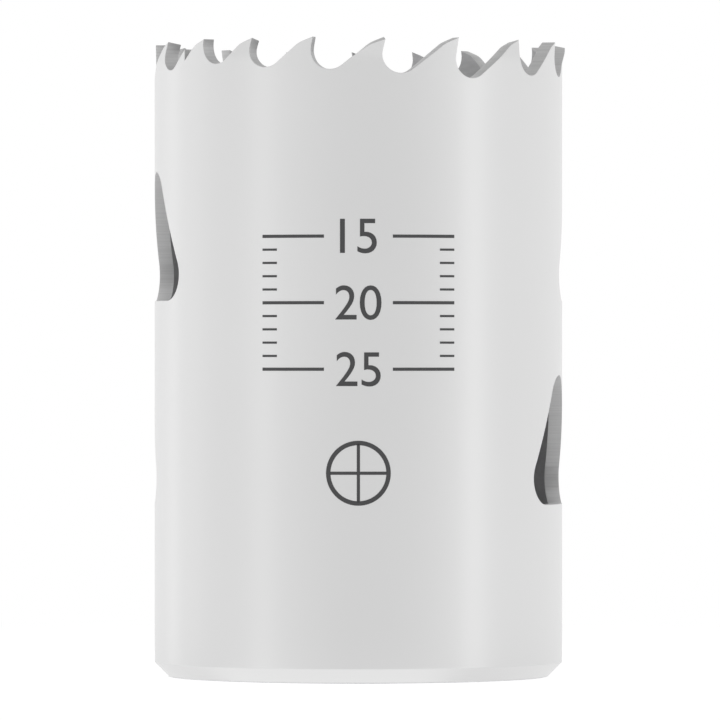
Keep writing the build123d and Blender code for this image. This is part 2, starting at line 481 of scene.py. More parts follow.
def thread_tree():
    """An internal screw thread with a bevelled mouth at each end, as a grid bent round the axis."""
    sizes = ("Minor Radius", "Major Radius", "Mouth Radius", "Pitch", "Length")
    tree, given = new_geometry_tree("Arbor Thread", sizes, ("Columns", "Rows"))
    grid = add_node(
        tree, "GeometryNodeMeshGrid",
        {
            "Size X": 2 * pi, "Size Y": given["Length"],
            "Vertices X": given["Columns"], "Vertices Y": given["Rows"],
        },
    )
    flat = apart(tree)
    half = maths(tree, "MULTIPLY", given["Length"], 0.5)
    height = maths(tree, "ADD", flat["Y"], half)

    # Crest, flank and root of the thread, by how far along a turn a point lies
    turns = maths(tree, "DIVIDE", height, given["Pitch"])
    turns = maths(tree, "SUBTRACT", turns, maths(tree, "DIVIDE", flat["X"], 2 * pi))
    wave = maths(tree, "PINGPONG", turns, 0.5)
    cut = add_node(
        tree, "ShaderNodeMapRange",
        {
            "Value": wave, "From Min": CREST, "From Max": ROOT,
            "To Min": given["Minor Radius"], "To Max": given["Major Radius"],
        },
    ).outputs[0]
    from_face = maths(tree, "SUBTRACT", half, maths(tree, "ABSOLUTE", flat["Y"]))
    mouth = maths(tree, "SUBTRACT", given["Mouth Radius"], from_face)
    reach = maths(tree, "MAXIMUM", cut, mouth)
    x = maths(tree, "MULTIPLY", reach, maths(tree, "COSINE", flat["X"]))
    y = maths(tree, "MULTIPLY", reach, maths(tree, "SINE", flat["X"]))
    bent = add_node(tree, "ShaderNodeCombineXYZ", {0: x, 1: y, 2: height}).outputs[0]
    moved = set_position(tree, grid.outputs["Mesh"], Position=bent)
    inwards = add_node(tree, "GeometryNodeFlipFaces", {"Mesh": moved})
    return end_geometry_tree(tree, inwards.outputs[0], [given["Material"]])


def bead_tree():
    """A rippled weld bead round a circle."""
    sizes = ("Circle Radius", "Bead Radius", "Height", "Ripple", "Ripples")
    tree, given = new_geometry_tree("Weld Bead", sizes)
    path = add_node(
        tree, "GeometryNodeCurvePrimitiveCircle",
        {"Resolution": BEAD_COLUMNS, "Radius": given["Circle Radius"]},
    )
    section = add_node(
        tree, "GeometryNodeCurvePrimitiveCircle",
        {"Resolution": BEAD_SIDES, "Radius": given["Bead Radius"]},
    )
    bead = add_node(
        tree, "GeometryNodeCurveToMesh",
        {"Curve": path.outputs["Curve"], "Profile Curve": section.outputs["Curve"]},
    )
    flat = apart(tree)
    angle = maths(tree, "ARCTAN2", flat["Y"], flat["X"])
    reach = from_axis(tree, flat)
    # Each ripple is bowed, because the melt trails behind the torch
    bow = maths(tree, "DIVIDE", maths(tree, "SUBTRACT", given["Circle Radius"], reach), RIPPLE_BOW)
    phase = maths(tree, "ADD", maths(tree, "MULTIPLY", angle, given["Ripples"]), bow)
    swell = maths(tree, "MULTIPLY", maths(tree, "SINE", phase), given["Ripple"])
    normal = add_node(tree, "GeometryNodeInputNormal").outputs[0]
    offset = add_node(tree, "ShaderNodeVectorMath", {0: normal, "Scale": swell}, operation="SCALE")
    rippled = set_position(tree, bead.outputs[0], Offset=offset.outputs[0])
    height = add_node(tree, "ShaderNodeCombineXYZ", {2: given["Height"]}).outputs[0]
    raised = set_position(tree, rippled, Offset=height)
    smooth = add_node(tree, "GeometryNodeSetShadeSmooth", {"Geometry": raised})
    return end_geometry_tree(tree, smooth.outputs[0], [given["Material"]])


# Outlines in the flat strip, as (along, height) points with the metal on the right


def turn_share():
    """Turns the pitches into radians, so that together they close the ring."""
    return 2 * pi / sum(TOOTH_PITCHES)


def tip_place(index):
    """How far along the strip a tooth tip lies."""
    turned = sum(TOOTH_PITCHES[:index]) * turn_share()
    return OUTER_RADIUS * (bpy.context.scene.hole_saw.teeth.first_tip + turned)


def gullet_centre(index):
    """Centre of a gap's round corner, from the tip before the gap."""
    teeth = bpy.context.scene.hole_saw.teeth
    pitch = TOOTH_PITCHES[index] * turn_share()
    if index == TOOTH_COUNT - 1:
        pitch = teeth.seam_pitch
    wider = OUTER_RADIUS * (pitch - 2 * pi / TOOTH_COUNT)
    depth = teeth.gullet_depth + teeth.deeper_per_pitch * wider
    centre_y = teeth.gullet_radius - depth
    centre_x = (teeth.gullet_radius + sin(teeth.rake) * centre_y) / cos(teeth.rake)
    return centre_x, centre_y


def arc(centre, radius, first, last, step=radians(9)):
    """Points along an arc, both ends included."""
    count = max(2, ceil(abs(last - first) / step))
    turns = [first + (last - first) * number / count for number in range(count + 1)]
    return [(centre[0] + radius * cos(turn), centre[1] + radius * sin(turn)) for turn in turns]


def rounded(before, corner, after, reach):
    """A corner cut back by reach along both its sides and bridged by a curve."""
    corner = Vector(corner)
    start = corner + (Vector(before) - corner).normalized() * reach
    end = corner + (Vector(after) - corner).normalized() * reach
    points = []
    for share in (0, 0.25, 0.5, 0.75, 1):
        left = start.lerp(corner, share)
        right = corner.lerp(end, share)
        points.append(tuple(left.lerp(right, share)))
    return points


def gap_line(index):
    """A gap's outline from the bottom of its gullet to the next tip, and back from it to the tip
    before, both measured from the tip before the gap."""
    teeth = bpy.context.scene.hole_saw.teeth
    width = OUTER_RADIUS * TOOTH_PITCHES[index] * turn_share()
    relief = (
        width - teeth.relief_length * cos(teeth.relief),
        -teeth.relief_length * sin(teeth.relief),
    )
    seam = []
    if index == TOOTH_COUNT - 1:
        seam_x = width - OUTER_RADIUS * teeth.seam_before_tip
        seam = [(seam_x, -teeth.seam_end_depth), (seam_x, -teeth.seam_start_depth)]
    centre = gullet_centre(index)
    top_of_back = (seam or [relief])[0]
    run, rise = top_of_back[0] - centre[0], top_of_back[1] - centre[1]
    last = atan2(rise, run) - acos(teeth.gullet_radius / hypot(run, rise))
    lowest = -pi / 2
    down = [(0, 0)] + arc(centre, teeth.gullet_radius, pi - teeth.rake, 3 * pi / 2)
    up = arc(centre, teeth.gullet_radius, lowest, last)
    before = (seam or up)[-1]
    up += seam + rounded(before, relief, (width, 0), teeth.back_round) + [(width, 0)]
    return down, up


def subdivided(points, longest):
    """The same line with no piece more than a hundredth longer than that."""
    line = [points[0]]
    for start, end in zip(points, points[1:]):
        count = max(1, ceil((Vector(end) - Vector(start)).length / longest - 0.01))
        for number in range(1, count + 1):
            line.append(tuple(Vector(start).lerp(Vector(end), number / count)))
    return line


def tooth_line():
    """The toothed edge all round, from the bottom of one gullet to the same place."""
    line = []
    for step in range(TOOTH_COUNT + 1):
        index = (START_GAP + step) % TOOTH_COUNT
        whole_turns = (START_GAP + step) // TOOTH_COUNT
        down, up = gap_line(index)
        here = tip_place(index) + whole_turns * STRIP_LENGTH
        points = (down[:-1] if step else []) + (up if step < TOOTH_COUNT else [down[-1]])
        points = [(here + x, TOP + y) for x, y in points]
        line += points[1:] if line and points[0] == line[-1] else points
    clean = [line[0]]
    for point in line[1:]:
        if (Vector(point) - Vector(clean[-1])).length > SHORTEST:
            clean.append(point)
    return subdivided(clean, TOOTH_STEP)


def slot_line(here, foot):
    """A slot's outline as seen straight on, against the clock as seen from outside."""
    slots = bpy.context.scene.hole_saw.slots
    apex_y = foot + slots.height - slots.apex_radius
    sharp = slots.height + slots.apex_radius / sin(slots.flank) - slots.apex_radius
    corner_x = sharp * tan(slots.flank) - slots.foot_radius / tan((pi / 2 - slots.flank) / 2)
    corner_y = foot + slots.foot_radius
    flank = slots.flank
    line = arc((here + corner_x, corner_y), slots.foot_radius, -pi / 2, flank)
    line += arc((here, apex_y), slots.apex_radius, flank, pi - flank)
    line += arc((here - corner_x, corner_y), slots.foot_radius, pi - flank, 3 * pi / 2)
    return subdivided(line + line[:1], SLOT_STEP)[:-1]


def level_line(height, columns, start):
    """A level line all round, running backwards so that the metal above it is on the right."""
    step = STRIP_LENGTH / columns
    return [(start + (columns - number) * step, height) for number in range(columns + 1)]


# Meshes


def into_metal(line, closed):
    """For each point of a line, the step towards the metal that insets both its sides by one."""
    count = len(line)
    sides = []
    for number in range(count if closed else count - 1):
        along = (Vector(line[(number + 1) % count]) - Vector(line[number])).normalized()
        sides.append(Vector((along.y, -along.x)))
    steps = []
    for number in range(count):
        both = sides[number - 1] + sides[number % len(sides)]
        steps.append(both * (2 / max(both.length_squared, 0.5)))
    return steps


def inset(line, steps, amount):
    """A line moved towards the metal."""
    return [(x + step.x * amount, y + step.y * amount) for (x, y), step in zip(line, steps)]


def inside(points, loops):
    """Which of the points lie within the loops, by counting the sides crossed on the way out."""
    points = np.array(points, float)
    crossed = np.zeros(len(points), int)
    for loop in loops:
        start = np.array(loop, float)
        end = np.roll(start, -1, axis=0)
        for (x0, y0), (x1, y1) in zip(start, end):
            if y0 == y1:
                continue
            spans = (points[:, 1] >= min(y0, y1)) & (points[:, 1] < max(y0, y1))
            at_x = x0 + (points[:, 1] - y0) * (x1 - x0) / (y1 - y0)
            crossed += spans & (points[:, 0] < at_x)
    return crossed % 2 == 1


def clear_of(points, loops, gap):
    """Which of the points stay that far from every corner of the loops."""
    points = np.array(points, float)
    nearest = np.full(len(points), np.inf)
    for corner in [corner for loop in loops for corner in loop]:
        away = np.hypot(points[:, 0] - corner[0], points[:, 1] - corner[1])
        nearest = np.minimum(nearest, away)
    return nearest > gap


def fill(loops, points):
    """Triangles through the given points that fill the first loop but not the others in it."""
    edges = []
    corners = []
    for loop in loops:
        first = len(corners)
        corners += loop
        edges += [(first + n, first + (n + 1) % len(loop)) for n in range(len(loop))]
    flat = [Vector((x / MM, y / MM)) for x, y in corners + list(points)]
    placed, _, faces, *_ = delaunay_2d_cdt(flat, edges, [], 1, SAME_CORNER)
    placed = [(point.x * MM, point.y * MM) for point in placed]
    middles = [np.mean([placed[n] for n in face], axis=0) for face in faces]
    kept = [face for face, hollow in zip(faces, inside(middles, loops[1:])) if not hollow]
    return placed, kept


def new_sheet():
    """An empty bmesh whose faces know their finish."""
    mesh = bmesh.new()
    mesh.faces.layers.int.new("finish")
    return mesh


def add_face(mesh, corners, finish):
    """Adds one smooth face and notes its finish."""
    made = mesh.faces.new(corners)
    made.smooth = True
    made[mesh.faces.layers.int["finish"]] = finish


def add_faces(mesh, points, faces, finish=0, flip=False):
    """Adds loose faces of one finish to a bmesh."""
    corners = [mesh.verts.new(point) for point in points]
    for face in faces:
        order = reversed(face) if flip else face
        add_face(mesh, [corners[n] for n in order], finish)


class Edge(NamedTuple):
    """An edge of the strip: its line, and its rim as (inset, depth) from outside to inside."""

    line: list
    section: list
    finishes: list
    closed: bool = False
    axis: float = None


def rim_row(edge, row):
    """An edge's line at one row of its rim. An edge with an axis is cut parallel to it."""
    amount, depth = edge.section[row]
    points = inset(edge.line, into_metal(edge.line, edge.closed), amount)
    if edge.axis is not None:
        reach = OUTER_RADIUS - depth
        points = [
            (edge.axis + OUTER_RADIUS * asin((x - edge.axis) / reach), y) for x, y in points
        ]
    return points


def add_rim(mesh, edge):
    """Adds the faces of an edge's rim."""
    rows = []
    for row, (_, depth) in enumerate(edge.section):
        rows.append([mesh.verts.new((x, depth, y)) for x, y in rim_row(edge, row)])
    count = len(edge.line)
    for upper, lower, finish in zip(rows, rows[1:], edge.finishes):
        for n in range(count if edge.closed else count - 1):
            m = (n + 1) % count
            add_face(mesh, (upper[n], upper[m], lower[m], lower[n]), finish)


def finished(mesh, name):
    """Joins what touches, marks the sharp edges and turns a bmesh into a mesh."""
    bmesh.ops.remove_doubles(mesh, verts=mesh.verts, dist=MERGE)
    for edge in mesh.edges:
        if len(edge.link_faces) == 2 and edge.calc_face_angle() > SHARP:
            edge.smooth = False
    made = bpy.data.meshes.new(name)
    mesh.to_mesh(made)
    mesh.free()
    return made


def cut_rim(edge_round, cut=CUT):
    """Section of a cut edge, rounded on both sides, with a flat strip that ends each rounding."""
    part = edge_round * (1 - sqrt(0.5))
    flat = edge_round + FLAT_BESIDE_ROUNDING
    section = [(flat, 0), (edge_round, 0), (part, part), (0, edge_round)]
    section += [(0, WALL - edge_round), (part, WALL - part), (edge_round, WALL), (flat, WALL)]
    return section, [PAINTED, PAINTED, cut, cut, cut, INNER, INNER]


def sheet_mesh(name, upper, lower, holes, rows):
    """A flat sheet with thickness between an upper and a lower edge, with holes in it."""
    strip = bpy.context.scene.hole_saw.strip
    mesh = new_sheet()
    start, end = upper.line[0][0], upper.line[-1][0]
    columns = [start + (end - start) * n / strip.columns for n in range(strip.columns + 1)]
    for edge in (upper, lower, *holes):
        add_rim(mesh, edge)
    for side, finish in ((0, PAINTED), (-1, INNER)):
        ends = [rim_row(edge, side) for edge in (upper, lower, *holes)]
        top, bottom = ends[0][-1][1], ends[1][0][1]
        between = [
            height for height in rows if bottom + ROW_MARGIN < height < top - ROW_MARGIN
        ]
        right = [(end, height) for height in reversed(between)]
        left = [(start, height) for height in between]
        loops = [ends[0] + right + ends[1] + left] + ends[2:]
        points = [(x, height) for height in rows for x in columns[1:-1]]
        fits = inside(points, loops) & clear_of(points, loops, POINT_MARGIN)
        points = [point for point, fit in zip(points, fits) if fit]
        placed, faces = fill(loops, points)
        depth = upper.section[side][1]
        add_faces(mesh, [(x, depth, y) for x, y in placed], faces, finish, flip=side == -1)
    return finished(mesh, name)


def lean_at(x):
    """How the tooth at a place along the strip is set: -1 in, 0 not at all, 1 out."""
    for step in range(TOOTH_COUNT):
        index = (START_GAP + 1 + step) % TOOTH_COUNT
        after = (START_GAP + 1 + step) // TOOTH_COUNT
        end = tip_place(index) + after * STRIP_LENGTH + gullet_centre(index)[0]
        if x < end:
            return SET_PATTERN[index % len(SET_PATTERN)]
    return SET_PATTERN[START_GAP % len(SET_PATTERN)]


def rows_between(bottom, top, spacing):
    """Even heights from just above the bottom to just below the top."""
    count = max(1, round((top - bottom) / spacing))
    return [bottom + (top - bottom) * number / count for number in range(1, count)]


def roll(name, mesh, materials):
    """Rolls a flat strip mesh round the axis."""
    teeth = bpy.context.scene.hole_saw.teeth
    inputs = {
        "Radius": OUTER_RADIUS, "Wall": WALL, "Bend Height": TOP - teeth.bend_depth,
        "Bend Depth": teeth.bend_depth, "Set": teeth.tooth_set, **materials,
    }
    return grow(name, roll_tree(), inputs, mesh)


def circle(centre, radius, count, first=0.0):
    """Points round a circle, against the clock."""
    turns = [first + 2 * pi * number / count for number in range(count)]
    return [(centre[0] + radius * cos(turn), centre[1] + radius * sin(turn)) for turn in turns]


def add_tube(mesh, centre, rows, count, flip=False):
    """Adds the surface through circles given from the bottom up as (radius, height)."""
    rings = []
    for radius, height in rows:
        points = circle(centre, radius, count)
        rings.append([mesh.verts.new((x, y, height)) for x, y in points])
    for lower, upper in zip(rings, rings[1:]):
        for n in range(count):
            m = (n + 1) % count
            corners = (lower[n], lower[m], upper[m], upper[n])
            add_face(mesh, tuple(reversed(corners)) if flip else corners, 0)


# Materials


def new_material(name):
    """A material with its Principled shader and the object's own coordinates."""
    material = bpy.data.materials.new(name)
    material.use_nodes = True
    tree = material.node_tree
    shader = tree.nodes["Principled BSDF"]
    place = add_node(tree, "ShaderNodeTexCoord").outputs["Object"]
    return material, tree, shader, place


def noise(tree, place, stretch, detail=3.0, **settings):
    """Noise between 0 and 1 whose grain is stretched along the axes."""
    scaled = add_node(tree, "ShaderNodeVectorMath", {0: place, 1: stretch}, operation="MULTIPLY")
    inputs = {"Vector": scaled.outputs[0], "Scale": 1.0, "Detail": detail, **settings}
    return add_node(tree, "ShaderNodeTexNoise", inputs).outputs["Fac"]


def toned(tree, color, amount, *patterns):
    """A colour made lighter and darker by patterns between 0 and 1."""
    level = 1.0
    for pattern in patterns:
        swing = maths(tree, "MULTIPLY_ADD", pattern, 2 * amount, 1 - amount)
        level = maths(tree, "MULTIPLY", swing, level)
    return add_node(
        tree, "ShaderNodeVectorMath", {0: tuple(color), "Scale": level}, operation="SCALE"
    ).outputs[0]


def dress(tree, shader, color, roughness, metallic=0.0):
    """Feeds a colour and a roughness to a shader and sets how far it is bare metal."""
    tree.links.new(color, shader.inputs["Base Color"])
    tree.links.new(roughness, shader.inputs["Roughness"])
    shader.inputs["Metallic"].default_value = metallic


def bumped(tree, shader, pattern, depth):
    """Raises the surface where a pattern is light."""
    bump = add_node(tree, "ShaderNodeBump", {"Height": pattern, "Distance": depth, "Strength": 1.0})
    tree.links.new(bump.outputs[0], shader.inputs["Normal"])


def paint_material(color):
    """Satin paint with a faint orange peel."""
    material, tree, shader, place = new_material("satin_paint")
    peel = noise(tree, place, (1400, 1400, 1400), 2.0)
    clouds = noise(tree, place, (70, 70, 70), 4.0)
    rough = maths(tree, "MULTIPLY_ADD", clouds, 0.08, 0.30)
    dress(tree, shader, toned(tree, color, 0.02, clouds), rough, 0.2)
    shader.inputs["Specular IOR Level"].default_value = 0.9
    bumped(tree, shader, peel, 0.0006 * MM)
    return material


def milled_material(color, name="milled_steel", metallic=0.6, contrast=0.24):
    """Bare steel with fine level lines left by the cutter."""
    material, tree, shader, place = new_material(name)
    lines = noise(tree, place, (120, 120, 8000), 1.0)
    broad = noise(tree, place, (150, 150, 1200), 2.0)
    tone = maths(tree, "MULTIPLY_ADD", lines, 0.8, maths(tree, "MULTIPLY", broad, 0.2))
    rough = maths(tree, "MULTIPLY_ADD", lines, 0.2, 0.45)
    dress(tree, shader, toned(tree, color, contrast, tone), rough, metallic)
    bumped(tree, shader, lines, 0.003 * MM)
    return material


def slot_material(color):
    """Cut steel for the slot faces, lighter and less metallic than the teeth's cut faces."""
    return milled_material(color, "slot_steel", 0.25, 0.16)


def rolled_material(color):
    """Bare rolled steel, a little mottled."""
    material, tree, shader, place = new_material("rolled_steel")
    grain = noise(tree, place, (900, 900, 3500), 4.0)
    clouds = noise(tree, place, (220, 220, 160), 5.0)
    rough = maths(tree, "MULTIPLY_ADD", clouds, 0.25, 0.38)
    dress(tree, shader, toned(tree, color, 0.16, grain, clouds), rough, 0.7)
    bumped(tree, shader, grain, 0.002 * MM)
    return material


def turned_material(color):
    """Bare steel with rings left by the lathe."""
    material, tree, shader, place = new_material("turned_steel")
    parts = apart(tree, place)
    along = maths(tree, "ADD", from_axis(tree, parts), maths(tree, "MULTIPLY", parts["Z"], 0.7))
    rings = add_node(
        tree, "ShaderNodeTexNoise", {"W": along, "Scale": 7000.0, "Detail": 3.0},
        noise_dimensions="1D",
    ).outputs["Fac"]
    clouds = noise(tree, place, (180, 180, 180), 4.0)
    rough = maths(tree, "MULTIPLY_ADD", clouds, 0.14, 0.26)
    dress(tree, shader, toned(tree, color, 0.05, rings, clouds), rough, 1.0)
    bumped(tree, shader, rings, 0.0025 * MM)
    return material


def weld_material(color):
    """Weld metal with a faint heat tint."""
    material, tree, shader, place = new_material("weld_metal")
    spots = noise(tree, place, (900, 900, 900), 4.0)
    rough = maths(tree, "MULTIPLY_ADD", spots, 0.2, 0.3)
    dress(tree, shader, toned(tree, color, 0.2, spots), rough, 1.0)
    return material


def ink_material(color):
    """Flat printing ink."""
    material, tree, shader, place = new_material("printing_ink")
    grain = noise(tree, place, (2500, 2500, 2500), 3.0)
    rough = maths(tree, "MULTIPLY_ADD", grain, 0.1, 0.5)
    dress(tree, shader, toned(tree, color, 0.15, grain), rough)
    return material


def body_materials():
    """The finishes of the rolled strip and the base plate, made once."""
    finishes = bpy.context.scene.hole_saw.finishes
    makers = {
        "Paint": ("satin_paint", paint_material, finishes.paint),
        "Cut Faces": ("milled_steel", milled_material, finishes.milled),
        "Inside": ("rolled_steel", rolled_material, finishes.rolled),
        "Turned Faces": ("turned_steel", turned_material, finishes.turned),
        "Slot Faces": ("slot_steel", slot_material, finishes.slotted),
    }
    made = {}
    for socket, (name, maker, color) in makers.items():
        made[socket] = bpy.data.materials.get(name) or maker(color)
    return made


# Pieces


def place_piece(name, mesh, node=None, weighted=True):
    """Puts a finished mesh in the scene, riding on the saw."""
    piece = bpy.data.objects.new(name, mesh)
    bpy.context.scene.collection.objects.link(piece)
    if weighted:
        modifier = piece.modifiers.new("Weighted Normals", "WEIGHTED_NORMAL")
        modifier.mode = "FACE_AREA_WITH_ANGLE"
        modifier.keep_sharp = True
        smooth = plain_mesh(piece)
        piece.modifiers.clear()
        piece.data = smooth
        smooth.name = name
        bpy.data.meshes.remove(mesh)
    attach(piece, "root")
    if node:
        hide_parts(node)
    return piece


class HOLESAW_OT_wall(Operator):
    """Build the painted wall with its slots and bevelled lower end"""

    bl_idname = "hole_saw.wall"
    bl_label = "Wall"
    bl_options = {"REGISTER", "UNDO"}

    def execute(self, context):
        settings = context.scene.hole_saw
        strip, slots = settings.strip, settings.slots
        start = tooth_line()[0][0]
        upper = list(reversed(level_line(JOINT_HEIGHT, strip.columns, start)))
        straight = [(0, 0), (0, WALL)]
        low = strip.rim_bevel - WALL
        soft = BEVEL_SOFTENING
        above, below = soft * ABOVE_BEVEL, soft * BELOW_BEVEL
        bevel = [
            (strip.rim_bevel + soft, 0), (strip.rim_bevel + above, above),
            (strip.rim_bevel - below, below), (low, WALL),
        ]
        ground = level_line(0.0, strip.columns, start)
        holes = []
        for number in range(2):
            for angle, foot in (
                (slots.high_angle, slots.high_foot), (slots.low_angle, slots.low_foot)
            ):
                turned = (angle + number * pi - start / OUTER_RADIUS) % (2 * pi)
                axis = OUTER_RADIUS * turned + start
                rim = cut_rim(FINE_ROUNDING * strip.edge_round, SLOTTED)
                holes.append(Edge(slot_line(axis, foot), *rim, True, axis))
        rows = rows_between(strip.rim_bevel + soft, JOINT_HEIGHT, strip.row_height)
        flat = sheet_mesh(
            "strip_wall", Edge(upper, straight, [CUT]),
            Edge(ground, bevel, [PAINTED, PAINTED, PAINTED]), holes, rows,
        )
        mesh = roll("strip_wall", flat, body_materials())
        place_piece("strip_wall", mesh, "cup_wall")
        return {"FINISHED"}


class HOLESAW_OT_teeth(Operator):
    """Build the toothed band with its set teeth"""

    bl_idname = "hole_saw.teeth"
    bl_label = "Toothed Band"
    bl_options = {"REGISTER", "UNDO"}

    def execute(self, context):
        strip = context.scene.hole_saw.strip
        line = tooth_line()
        start = line[0][0]
        joint = level_line(JOINT_HEIGHT, strip.columns, start)
        rows = rows_between(JOINT_HEIGHT, TOP, TOOTH_ROW)
        flat = sheet_mesh(
            "toothed_band", Edge(line, *cut_rim(FINE_ROUNDING * strip.edge_round)),
            Edge(joint, [(0, 0), (0, WALL)], [CUT]), [], rows,
        )
        lean = flat.attributes.new("lean", "FLOAT", "POINT")
        lean.data.foreach_set("value", [lean_at(v.co.x) for v in flat.vertices])
        mesh = roll("toothed_band", flat, body_materials())
        place_piece("toothed_band", mesh, "cutting_edge")
        return {"FINISHED"}


class HOLESAW_OT_plate(Operator):
    """Build the base plate with its arbor thread and drive-pin holes"""

    bl_idname = "hole_saw.plate"
    bl_label = "Base Plate"
    bl_options = {"REGISTER", "UNDO"}

    def execute(self, context):
        plate = context.scene.hole_saw.plate
        strip = context.scene.hole_saw.strip
        bevel = strip.rim_bevel - WALL
        mouth = plate.minor_radius + plate.lead_in
        pin_radius = (INNER_RADIUS - mouth) / 2 - plate.pin_land
        pin_circle = (INNER_RADIUS + mouth) / 2
        centres = circle((0, 0), pin_circle, plate.pin_count, FIRST_PIN)
        mesh = new_sheet()
        low, high = pin_radius + plate.pin_lead_in, plate.pin_lead_in
        for centre in centres:
            section = [
                (low, 0), (pin_radius, high), (pin_radius, PLATE_TOP - high), (low, PLATE_TOP)
            ]
            add_tube(mesh, centre, section, PIN_COLUMNS, flip=True)
        section = [(INNER_RADIUS - bevel, 0), (INNER_RADIUS, bevel), (INNER_RADIUS, PLATE_TOP)]
        add_tube(mesh, (0, 0), section, strip.columns)
        pins = [circle(centre, low, PIN_COLUMNS) for centre in centres]
        for height, radius in ((0.0, INNER_RADIUS - bevel), (PLATE_TOP, INNER_RADIUS)):
            rim = circle((0, 0), radius, strip.columns)
            loops = [rim, circle((0, 0), mouth, THREAD_COLUMNS, -pi)] + pins
            placed, faces = fill(loops, [])
            points = [(x, y, height) for x, y in placed]
            add_faces(mesh, points, faces, flip=height == 0)
        inputs = {
            "Minor Radius": plate.minor_radius, "Major Radius": plate.major_radius,
            "Mouth Radius": mouth, "Pitch": plate.thread_pitch, "Length": PLATE_TOP,
            "Columns": THREAD_COLUMNS + 1, "Rows": THREAD_ROWS + 1,
            "Material": body_materials()["Turned Faces"],
        }
        thread = grow("arbor_thread", thread_tree(), inputs)
        mesh.from_mesh(thread)
        for face in mesh.faces:
            face.smooth = True
            face.material_index = 0
        made = finished(mesh, "threaded_plate")
        made.materials.clear()
        made.materials.append(body_materials()["Turned Faces"])
        place_piece("threaded_plate", made, "base_plate")
        return {"FINISHED"}


class HOLESAW_OT_weld(Operator):
    """Build the weld bead between the base plate and the wall"""

    bl_idname = "hole_saw.weld"
    bl_label = "Weld Bead"
    bl_options = {"REGISTER", "UNDO"}

    def execute(self, context):
        settings = context.scene.hole_saw
        plate = settings.plate
        sink = BEAD_SINK * plate.bead_radius
        inputs = {
            "Circle Radius": INNER_RADIUS - sink, "Bead Radius": plate.bead_radius,
            "Height": PLATE_TOP + sink,
            "Ripple": plate.bead_ripple, "Ripples": float(plate.bead_ripples),
            "Material": weld_material(settings.finishes.milled),
        }
        mesh = grow("weld_bead", bead_tree(), inputs)
        place_piece("weld_bead", mesh, weighted=False)
        return {"FINISHED"}


def numeral_faces(text, height):
    """Flat outline faces of a plain number, centred on the origin."""
    curve = bpy.data.curves.new(text, "FONT")
    curve.body = text
    curve.align_x = "CENTER"
    curve.align_y = "CENTER"
    curve.resolution_u = 6
    holder = bpy.data.objects.new(text, curve)
    bpy.context.scene.collection.objects.link(holder)
    shown = holder.evaluated_get(bpy.context.evaluated_depsgraph_get())
    flat = bpy.data.meshes.new_from_object(shown)
    points = np.array([vertex.co[:2] for vertex in flat.vertices])
    low, high = points.min(axis=0), points.max(axis=0)
    points = (points - (low + high) / 2) * (height / (high[1] - low[1]))
    faces = [tuple(face.vertices) for face in flat.polygons]
    bpy.data.objects.remove(holder)
    bpy.data.curves.remove(curve)
    bpy.data.meshes.remove(flat)
    return [tuple(point) for point in points], faces


def bar(left, right, middle, width):
    """Outline of a level bar."""
    low, high = middle - width / 2, middle + width / 2
    return [(left, low), (right, low), (right, high), (left, high)]


def cross(middle, arm, half):
    """Outline of an upright cross, by the length of its arms and half their width."""
    quarter = [(-half, -arm), (half, -arm), (half, -half)]
    corners = []
    for _ in range(4):
        corners += quarter
        quarter = [(-y, x) for x, y in quarter]
    return [(middle[0] + x, middle[1] + y) for x, y in corners]


class HOLESAW_OT_marks(Operator):
    """Print the depth marks and the centre sign on the wall"""

    bl_idname = "hole_saw.marks"
    bl_label = "Printed Marks"
    bl_options = {"REGISTER", "UNDO"}

    def execute(self, context):
        settings = context.scene.hole_saw
        marks = settings.marks
        mesh = new_sheet()
        shapes = []
        numbers = ("15", "20", "25")
        for number, text in enumerate(numbers):
            height = marks.first_height - number * MARK_SPACING
            points, faces = numeral_faces(text, marks.numeral_height)
            placed = [(x, -marks.thickness, y + height) for x, y in points]
            add_faces(mesh, placed, faces)
            lines = [(height, LINE_START, marks.line_width)]
            if text != numbers[-1]:
                fine = marks.line_width * TICK_WIDTH
                lines += [(height - n * MM, TICK_START, fine) for n in range(1, TICKS + 1)]
            for level, nearest, width in lines:
                for side in (-1, 1):
                    ends = sorted((side * nearest, side * LINE_END))
                    shapes.append([bar(*ends, level, width)])
        middle = (0, marks.ring_height)
        rings = [marks.ring_radius, marks.ring_radius - RING_WIDTH * marks.line_width]
        shapes.append([circle(middle, radius, RING_SIDES) for radius in rings])
        shapes.append([cross(middle, CROSS_ARM * marks.ring_radius, marks.line_width / 2)])
        for loops in shapes:
            placed, faces = fill(loops, [])
            add_faces(mesh, [(x, -marks.thickness, y) for x, y in placed], faces)
        bmesh.ops.remove_doubles(mesh, verts=mesh.verts, dist=MERGE)
        reach = max(abs(vertex.co.x) for vertex in mesh.verts)
        cuts = floor(reach / MARK_STEP)
        for number in range(-cuts, cuts + 1):
            parts = mesh.verts[:] + mesh.edges[:] + mesh.faces[:]
            bmesh.ops.bisect_plane(
                mesh, geom=parts, dist=ON_CUT,
                plane_co=(number * MARK_STEP, 0, 0), plane_no=(1, 0, 0),
            )
        front = mesh.faces[:]
        back = bmesh.ops.extrude_face_region(mesh, geom=front, use_keep_orig=True)
        for item in back["geom"]:
            if isinstance(item, bmesh.types.BMVert):
                item.co.y += 2 * marks.thickness
        bmesh.ops.recalc_face_normals(mesh, faces=mesh.faces)
        flat = finished(mesh, "depth_marks")
        ink = ink_material(settings.finishes.ink)
        rolled = roll("depth_marks", flat, dict.fromkeys(STRIP_FINISHES, ink))
        place_piece("depth_marks", rolled, weighted=False)
        return {"FINISHED"}


